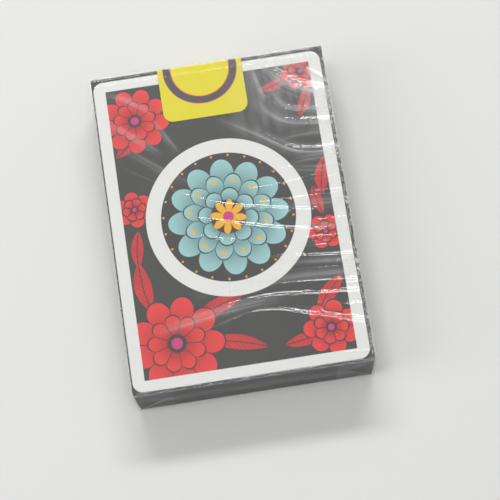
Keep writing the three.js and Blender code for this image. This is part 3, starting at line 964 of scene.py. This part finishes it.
def add_tube(sheet, around, facing, rows_y):
    """The rows round the pack. Gives the last one."""
    on_front = facing[:, 1] > 0.99
    x, y = np.meshgrid(around[:, 0], rows_y)
    made = [crease_field(x, y, layer) for layer in SHARP + BROAD]
    lift = np.max([tallest for tallest, _ in made], axis=0)
    folds = np.stack([field for _, field in made])
    folds[:, :, ~on_front, 2] = 0.0
    side_lift = add_pleats(folds, around, facing, y)
    over_seal = (x > seal_left - 1) & (x < seal_right + 1) & (y > seal_end - 1) & on_front
    base = np.where(over_seal, SEAL_SUNK, FRONT_SUNK)
    near_corner = np.minimum(1, (HALF_WIDTH - np.abs(x)) / 1.2) * on_front
    down = base - MESH_SHARE * lift * near_corner + CRINKLE_DEPTH * crinkle(x, y)
    down = np.where(facing[:, 1] > 0, np.clip(down, 0.0, DEEPEST), BACK_SUNK)
    across = np.clip(SIDE_SUNK - MESH_SHARE * side_lift, 0.02, DEEPEST)
    slack = np.where(over_seal, 0.02, np.where(on_front, 0.05, 0.06))
    inward = np.stack((-facing[:, 0], np.zeros(len(facing)), -facing[:, 1]), 1)
    previous = None
    for k, along in enumerate(rows_y):
        points = np.stack((
            around[:, 0] - facing[:, 0] * across[k], np.full(len(around), along),
            around[:, 1] - facing[:, 1] * down[k]), 1)
        row = sheet.add(points, inward, slack[k], folds=folds[:, k])
        closed = np.append(row, row[0])
        if previous is not None:
            sheet.join_rows(previous, closed)
        previous = closed
    return previous


def add_lap(sheet, rows_y):
    """The strip along the left side where the wrap's two edges overlap and are sealed."""
    previous = None
    height = np.linspace(*LAP_SPAN, 5)
    free = np.array((1.0, 0.0, 0.0, 0.0, 1.0))
    for y in rows_y:
        waver = 0.10 * math.sin(0.31 * y) + 0.05 * math.sin(1.7 * y + 1)
        points = np.stack((
            np.full(5, -HALF_WIDTH + LAP_DEPTH), np.full(5, y), height + waver * free), 1)
        row = sheet.add(points, (1, 0, 0), 0.03, free)
        if previous is not None:
            sheet.join_rows(previous, row)
        previous = row


# %% Film: ends
END_TURN = 0.22  # how far from the end the film starts to turn over the edge
FLAP_SLOPE, TUCK_SLOPE, FLAP_REACH, TUCK_REACH = 0.80, 0.25, 0.60 * TOP_FACE, 10.5
FRONT_DEPTH, BACK_DEPTH, TUCK_DEPTH = 0.08, 0.15, 0.22  # how far each lies inside the box
FLAP_WAYS = (  # in turn round the pack: way in, way across, reach, depth, slope, middle height
    ((0, 0, -1), (1, 0, 0), FLAP_REACH, FRONT_DEPTH, FLAP_SLOPE, 0.0),
    ((-1, 0, 0), (0, 0, 1), TUCK_REACH, TUCK_DEPTH, TUCK_SLOPE, TOP_FACE / 2),
    ((0, 0, 1), (1, 0, 0), FLAP_REACH, BACK_DEPTH, FLAP_SLOPE, 0.0),
    ((1, 0, 0), (0, 0, 1), TUCK_REACH, TUCK_DEPTH, TUCK_SLOPE, TOP_FACE / 2),
)
TURN_ANGLES, FLAP_ROWS = (25, 50, 75, 90), 22


def add_flap(sheet, rim, start, way, end_y, sign):
    """A flap from part of the tube's rim, turned over the end edge."""
    towards, across, reach, depth, slope, middle_height = way
    towards, across = np.array(towards, float), np.array(across, float)
    shift = np.array((0, 0, middle_height))
    start = start - shift
    middle = start @ across
    row, half, edge = rim, np.abs(middle).max(), np.abs(start[0][1])
    turned = np.radians(TURN_ANGLES)
    drops = np.append(
        END_TURN * (1 - np.cos(turned)), np.linspace(END_TURN + 0.5, reach, FLAP_ROWS))
    outs = np.append(np.sin(turned), np.ones(FLAP_ROWS))
    for drop, out in zip(drops, outs):
        narrow = 1 - max(0.0, drop - 0.2) * slope / half
        points = start + np.outer(middle * (narrow - 1), across) + towards * drop
        points[:, 1] = sign * (edge + (end_y - depth - edge) * out)
        free = np.full(len(points), 1.0 if drop == drops[-1] else 0.0)
        free[[0, -1]] = 1.0 if out == 1.0 else 0.0
        new = sheet.add(points + shift, (0, -sign, 0), 0.07 if out == 1.0 else 0.0, free)
        sheet.join_rows(row, new)
        row = new


def add_end(sheet, rim, starts, sign):
    """Front flap, back flap, tucked sides and the corners between them, at one end."""
    points = np.concatenate(sheet.points)
    end_y = cap_high[1] if sign > 0 else -low[1]
    parts = [rim[a: b + 1] for a, b in zip(starts[:-1], starts[1:])]
    for part, way in zip(parts[::2], FLAP_WAYS):
        add_flap(sheet, part, points[part], way, end_y, sign)
    for part in parts[1::2]:
        corner = points[part].mean(axis=0)
        corner[0] -= math.copysign(0.25, corner[0])
        corner[2] += 0.25 if corner[2] < TOP_FACE / 2 else -0.25
        corner[1] = sign * (end_y - TUCK_DEPTH - 0.02)
        tip = sheet.add([corner], (0, -sign, 0), 0.0)[0]
        for p, q in zip(part[:-1], part[1:]):
            sheet.faces.append((p, q, tip) if sheet.flip else (p, tip, q))


# %% [markdown]
# ## Film: ripples by Geometry Nodes
# Between the long folds the film is never quite flat. A small node tree pushes each
# point inwards by a seeded noise, no further than the slack stored at that point, so
# the film can't cut into the case. The wall is made after that and everything becomes
# a plain mesh.

# %% Film: ripple tree
ripples = bpy.data.node_groups.new("film ripples", "GeometryNodeTree")
ripples.interface.new_socket("Geometry", in_out="OUTPUT", socket_type="NodeSocketGeometry")
for title, kind in (
        ("Geometry", "Geometry"), ("Share of slack", "Float"), ("Ripples per metre", "Float"),
        ("Seed", "Float"), ("Film", "Material")):
    ripples.interface.new_socket(title, in_out="INPUT", socket_type=f"NodeSocket{kind}")
wires = Wires(ripples)
takes = wires.node("NodeGroupInput").outputs


def stored(name, kind):
    made = wires.node("GeometryNodeInputNamedAttribute", data_type=kind)
    return wires.feed(made, Name=name)["Attribute"]


noise = wires.feed(
    wires.node("ShaderNodeTexNoise", noise_dimensions="4D"),
    Vector=wires.node("GeometryNodeInputPosition").outputs[0],
    Scale=takes["Ripples per metre"], W=takes["Seed"], Detail=3.0)[0]
amount = wires.times(noise, stored("slack", "FLOAT"), takes["Share of slack"])
push = wires.scaled(stored("inward", "FLOAT_VECTOR"), amount)
moved = wires.fed("GeometryNodeSetPosition", Geometry=takes["Geometry"], Offset=push)
real = wires.fill(wires.node("GeometryNodeRealizeInstances"), moved)
dressed = wires.fed("GeometryNodeSetMaterial", Geometry=real, Material=takes["Film"])
wires.join(dressed, wires.node("NodeGroupOutput").inputs[0])
RIPPLE_SOCKET = {
    item.name: item.identifier for item in ripples.interface.items_tree if item.in_out == "INPUT"}
print("ripple inputs", list(RIPPLE_SOCKET))

# %% [markdown]
# ## Film: the material
# Clear film has no colour of its own. It lets most light through and mirrors a little
# of it, more at a glance, so it is a clear shader and a glossy one, and only the
# outer face of each wall mirrors. Where film is creased or rubbed it whitens, and a
# white diffuse share is added along the folds, the corners, the edge strips and the
# free edges: partly that real whitening, partly painted highlights and a painted sheen
# that stand in for mirrored light. The sharp shape of a fold is finer than the mesh,
# so it is drawn as a bump from the distances stored in the mesh.

# %% Fold: height, and whitening with painted highlight, from a stored distance
fold, wires, takes, gives = new_group(
    "fold", {"Field": None, "Place": None, "Share": 1.0, "Crest": 4.0, "Strands": 0.0},
    ("Height", "Whitening and painted highlight"),
)
off, width, slope = wires.apart(takes["Field"])
width = wires.larger(width, 0.05)
ratio = wires.math("DIVIDE", off, width)
square = wires.times(ratio, ratio)
broken = wires.ramp(wires.noise(takes["Place"], 0.45, 3.0, 0.6), 0.30, 0.66, 0.75, 1.20)
slope = wires.times(slope, broken)
tall = wires.times(wires.times(slope, width), wires.times(takes["Share"], 1 / STEEPEST))
wires.join(wires.times(tall, wires.math("EXPONENT", wires.times(square, -1.0))), gives["Height"])
# The whitening along a fold's crest is partly real stress-whitening of creased film and partly a
# painted highlight.
crest = wires.math("EXPONENT", wires.times(square, wires.times(takes["Crest"], -1.0)))
beside = wires.fed("ShaderNodeCombineXYZ", X=wires.times(off, 1.3))
far = wires.stretched(takes["Place"], (0.035, 0.035, 0.035))
strand_place = wires.fill(wires.node("ShaderNodeVectorMath", operation="ADD"), beside, far)
strand = wires.ramp(wires.noise(strand_place, 1.0, 3.0, 0.6), 0.32, 0.64, 0.15, 1.6)
strand = wires.add(1.0, wires.times(takes["Strands"], wires.less(strand, 1.0)))
wires.join(wires.times(slope, crest, strand), gives["Whitening and painted highlight"])
print("group", fold.name)

# %% Film: folds, edges and streaks
# The whitened part of a fold is also where its painted highlight lies.
SHARP_CREST, BROAD_CREST = 4.0, 1.2  # how narrow the whitened part of a fold is


def attribute(wires, name):
    made = wires.node("ShaderNodeAttribute", attribute_type="GEOMETRY", attribute_name=name)
    return made.outputs


def add_folds(wires, spot, names, crest, strands):
    """The summed height, and whitening with painted highlight, of some layers of folds."""
    height, white = 0.0, 0.0
    for name in names:
        drawn = wires.use(
            fold, Field=attribute(wires, name)["Vector"], Place=spot, Share=1 - MESH_SHARE,
            Crest=crest, Strands=strands)
        height, white = wires.add(height, drawn["Height"]), wires.add(white, drawn["Whitening and painted highlight"])
    return height, white


def front_mask(wires, z):
    return wires.ramp(z, TOP_FACE - 0.6, TOP_FACE - 0.4)


def film_edges(wires, x, y, z):
    """Masks of the crumpled edge strips of the front, and of the film's long corners."""
    right = wires.ramp(x, 32.0, 32.6)
    left = wires.times(wires.ramp(wires.times(x, -1.0), 32.6, 33.2), 0.35)
    end = wires.larger(wires.ramp(y, 45.2, 45.9), wires.times(wires.ramp(y, -46.1, -46.3), 0.6))
    off_seal = wires.ramp(wires.positive(wires.less(x, SEAL_MIDDLE)), 11.5, 13.0)
    bare = wires.larger(off_seal, wires.ramp(y, 1.0, 0.0))
    strip = wires.times(front_mask(wires, z), wires.larger(wires.times(end, bare), right, left))
    side_gap = wires.less(HALF_WIDTH, wires.positive(x))
    end_gap = wires.less(cap_high[1], wires.positive(y))
    face_gap = wires.less(TOP_FACE, z)
    nearest = wires.smaller(wires.size(side_gap, face_gap), wires.size(end_gap, face_gap))
    seal_share = wires.add(0.15, wires.times(bare, 0.85))
    return strip, wires.times(wires.ramp(nearest, 0.38, 0.20), seal_share)


def crests(wires, noise, start):
    """Thin lines along which a noise passes its middle value."""
    off_middle = wires.positive(wires.less(wires.times(noise, 2.0), 1.0))
    return wires.ramp(wires.rest(off_middle), start, 1.0)


def film_relief(wires, spot, x, y, z, strip):
    """The height of the streaks, end pleats and crumple between the folds, and the pleats."""
    ridge = wires.times(
        crests(wires, wires.noise(spot, (0.03, 0.26, 0.25), 1.0), 0.92),
        wires.ramp(x, -2.0, 14.0, 0.1, 1.0), wires.ramp(y, 17.0, 9.0, 0.08, 1.0))
    at_end = wires.ramp(wires.positive(y), 45.6, 46.2)
    pleat = wires.times(
        crests(wires, wires.noise(spot, (0.03, 0.03, 0.60), 2.0, 0.6), 0.86),
        wires.times(at_end, wires.ramp(z, 18.6, 18.2)))
    crackle = wires.noise(spot, (1.6, 1.6, 1.2), 3.0, 0.6)
    crumple = wires.times(crackle, wires.add(0.02, wires.times(0.30, wires.larger(strip, at_end))))
    return wires.add(wires.times(wires.add(ridge, pleat), 0.03), crumple), pleat


# %% Film finish


def film_whitening_and_painted_highlights(wires, spot, folded, edges, pleat):
    """How white the film is: partly real whitening of creased and rubbed film, partly painted
    highlights and painted sheen on the folds, sides, edge strips and corners.
    """
    (sharp, broad), (strip, corner) = folded, edges
    x, y, z = wires.apart(spot)
    # The streaky sheen on the film's sides, the veil over the upper right of the front and the
    # flecks on the edge strips are painted highlights and painted sheen.
    on_side = wires.ramp(wires.positive(x), 33.10, 33.22)
    painted_side_sheen = wires.ramp(wires.noise(spot, (0.0, 0.020, 0.30), 3.0, 0.6), 0.46, 0.72, 0.0, 0.10)
    painted_veil = wires.times(
        wires.ramp(x, 1.0, 13.0), wires.ramp(y, 14.0, 32.0), front_mask(wires, z),
        wires.ramp(wires.noise(spot, (0.30, 0.06, 0.0), 4.0, 0.6), 0.34, 0.68, 0.015, 0.15))
    painted_glint_flecks = wires.ramp(wires.noise(spot, (1.9, 1.9, 1.5), 2.0, 0.6), 0.52, 0.60)
    patchy = wires.ramp(wires.noise(spot, 0.6, 3.0, 0.6), 0.35, 0.65, 0.35, 1.0)
    free = wires.math("POWER", attribute(wires, "free_edge")["Fac"], 3.0)
    return wires.add(
        wires.times(sharp, wires.add(0.55, wires.times(on_side, 1.3))),
        wires.times(broad, 2.2),
        wires.times(on_side, painted_side_sheen),
        painted_veil,
        wires.times(strip, painted_glint_flecks, 0.45),
        # Whitening of the long corners and free edges: partly real rubbed whitening, partly painted
        # highlight.
        wires.add(
            wires.times(corner, patchy, wires.ramp(y, -45.8, -46.2, 0.38, 0.62)),
            wires.times(free, 0.26)),
        wires.times(pleat, 0.07),
        wires.ramp(wires.noise(spot, 0.3, 3.0), 0.3, 0.8, 0.0, 0.010),
    )


def make_film():
    material = new_material("film")
    wires = Wires(material.node_tree)
    spot = wires.place()
    x, y, z = wires.apart(spot)
    sharp, sharp_white_and_highlight = add_folds(wires, spot, LAYER_NAMES[:len(SHARP)], SHARP_CREST, 0.0)
    broad, broad_white_and_highlight = add_folds(wires, spot, LAYER_NAMES[len(SHARP):], BROAD_CREST, 1.0)
    edges = film_edges(wires, x, y, z)
    relief, pleat = film_relief(wires, spot, x, y, z, edges[0])
    bump = wires.fed(
        "ShaderNodeBump", Distance=MM, Strength=1.0, Height=wires.add(sharp, broad, relief))
    gloss = wires.fed("ShaderNodeBsdfAnisotropic", Roughness=0.07, Normal=bump)
    glance = wires.feed(wires.node("ShaderNodeLayerWeight"), Blend=0.5)["Facing"]
    mirrored = wires.add(0.06, wires.times(0.05, wires.math("POWER", glance, 5.0)))
    outer_face = wires.rest(wires.node("ShaderNodeNewGeometry").outputs["Backfacing"])
    clear = wires.fed("ShaderNodeBsdfTransparent")
    film = wires.blend(wires.times(mirrored, outer_face), clear, gloss)
    # A white diffuse share: partly real whitening of the film, partly painted highlights and
    # painted sheen.
    whitening_and_highlight_shader = wires.fed("ShaderNodeBsdfDiffuse", Color=(0.9, 0.9, 0.9, 1))
    white = film_whitening_and_painted_highlights(wires, spot, (sharp_white_and_highlight, broad_white_and_highlight), edges, pleat)
    film_with_painted_highlights = wires.blend(wires.times(wires.smaller(white, 0.6), outer_face), film, whitening_and_highlight_shader)
    wires.join(film_with_painted_highlights, wires.node("ShaderNodeOutputMaterial").inputs[0])
    return material


RIPPLE_VALUES = {
    "Share of slack": 1.0, "Ripples per metre": 120.0, "Seed": 3.0, "Film": make_film()}

# %% Film: both halves


def store(mesh, name, kind, values):
    """Keeps a number or a vector at each point of a mesh."""
    field = "value" if kind == "FLOAT" else "vector"
    mesh.attributes.new(name, kind, "POINT").data.foreach_set(field, np.concatenate(values).ravel())


def film_mesh(name, sheet):
    """Ripples and thickens one layer, and gives the plain mesh."""
    mesh = bpy.data.meshes.new(name)
    points = (np.concatenate(sheet.points) * MM).tolist()
    mesh.from_pydata(points, [], [tuple(int(v) for v in face) for face in sheet.faces])
    mesh.polygons.foreach_set("use_smooth", [True] * len(mesh.polygons))
    store(mesh, "slack", "FLOAT", [row * MM for row in sheet.slack])
    store(mesh, "inward", "FLOAT_VECTOR", sheet.inward)
    store(mesh, "free_edge", "FLOAT", sheet.free_edge)
    for title, values in zip(LAYER_NAMES, np.concatenate(sheet.folds, axis=1)):
        store(mesh, title, "FLOAT_VECTOR", values)
    draft = bpy.data.objects.new(name + "_draft", mesh)
    scene.collection.objects.link(draft)
    ripple = draft.modifiers.new("ripples", "NODES")
    ripple.node_group = ripples
    for title, value in RIPPLE_VALUES.items():
        ripple[RIPPLE_SOCKET[title]] = value
    wall = draft.modifiers.new("wall", "SOLIDIFY")
    wall.thickness, wall.offset = WALL * MM, -1.0
    graph = bpy.context.evaluated_depsgraph_get()
    plain = bpy.data.meshes.new_from_object(draft.evaluated_get(graph), depsgraph=graph)
    plain.name = name
    bpy.data.objects.remove(draft)
    return plain


def film_half(name, body, node, rows_y, lap_rows, sign):
    """One half of the film. Its end faces along Y, forwards or back by the sign."""
    sheet = Sheet(sign > 0)
    rim = add_tube(sheet, around, facing, rows_y)
    add_end(sheet, rim, starts, sign)
    add_lap(sheet, lap_rows)
    mesh = film_mesh(name, sheet)
    finished(name, mesh, body, node, slot="film")
    mesh.calc_loop_triangles()
    print(name, "triangles", len(mesh.loop_triangles))


around, starts = section(94, 9, 18)
facing = pointing(around)
rows_y = np.linspace(high[1], low[1] + END_TURN, 300)
film_half("film_sleeve", "film_sleeve", "wrap_sleeve", rows_y, rows_y[::3], -1)
rows_y = np.linspace(cap_low[1], cap_high[1] - END_TURN, 8)
film_half("film_cap", "film_top", "wrap_cap", rows_y, rows_y, 1)
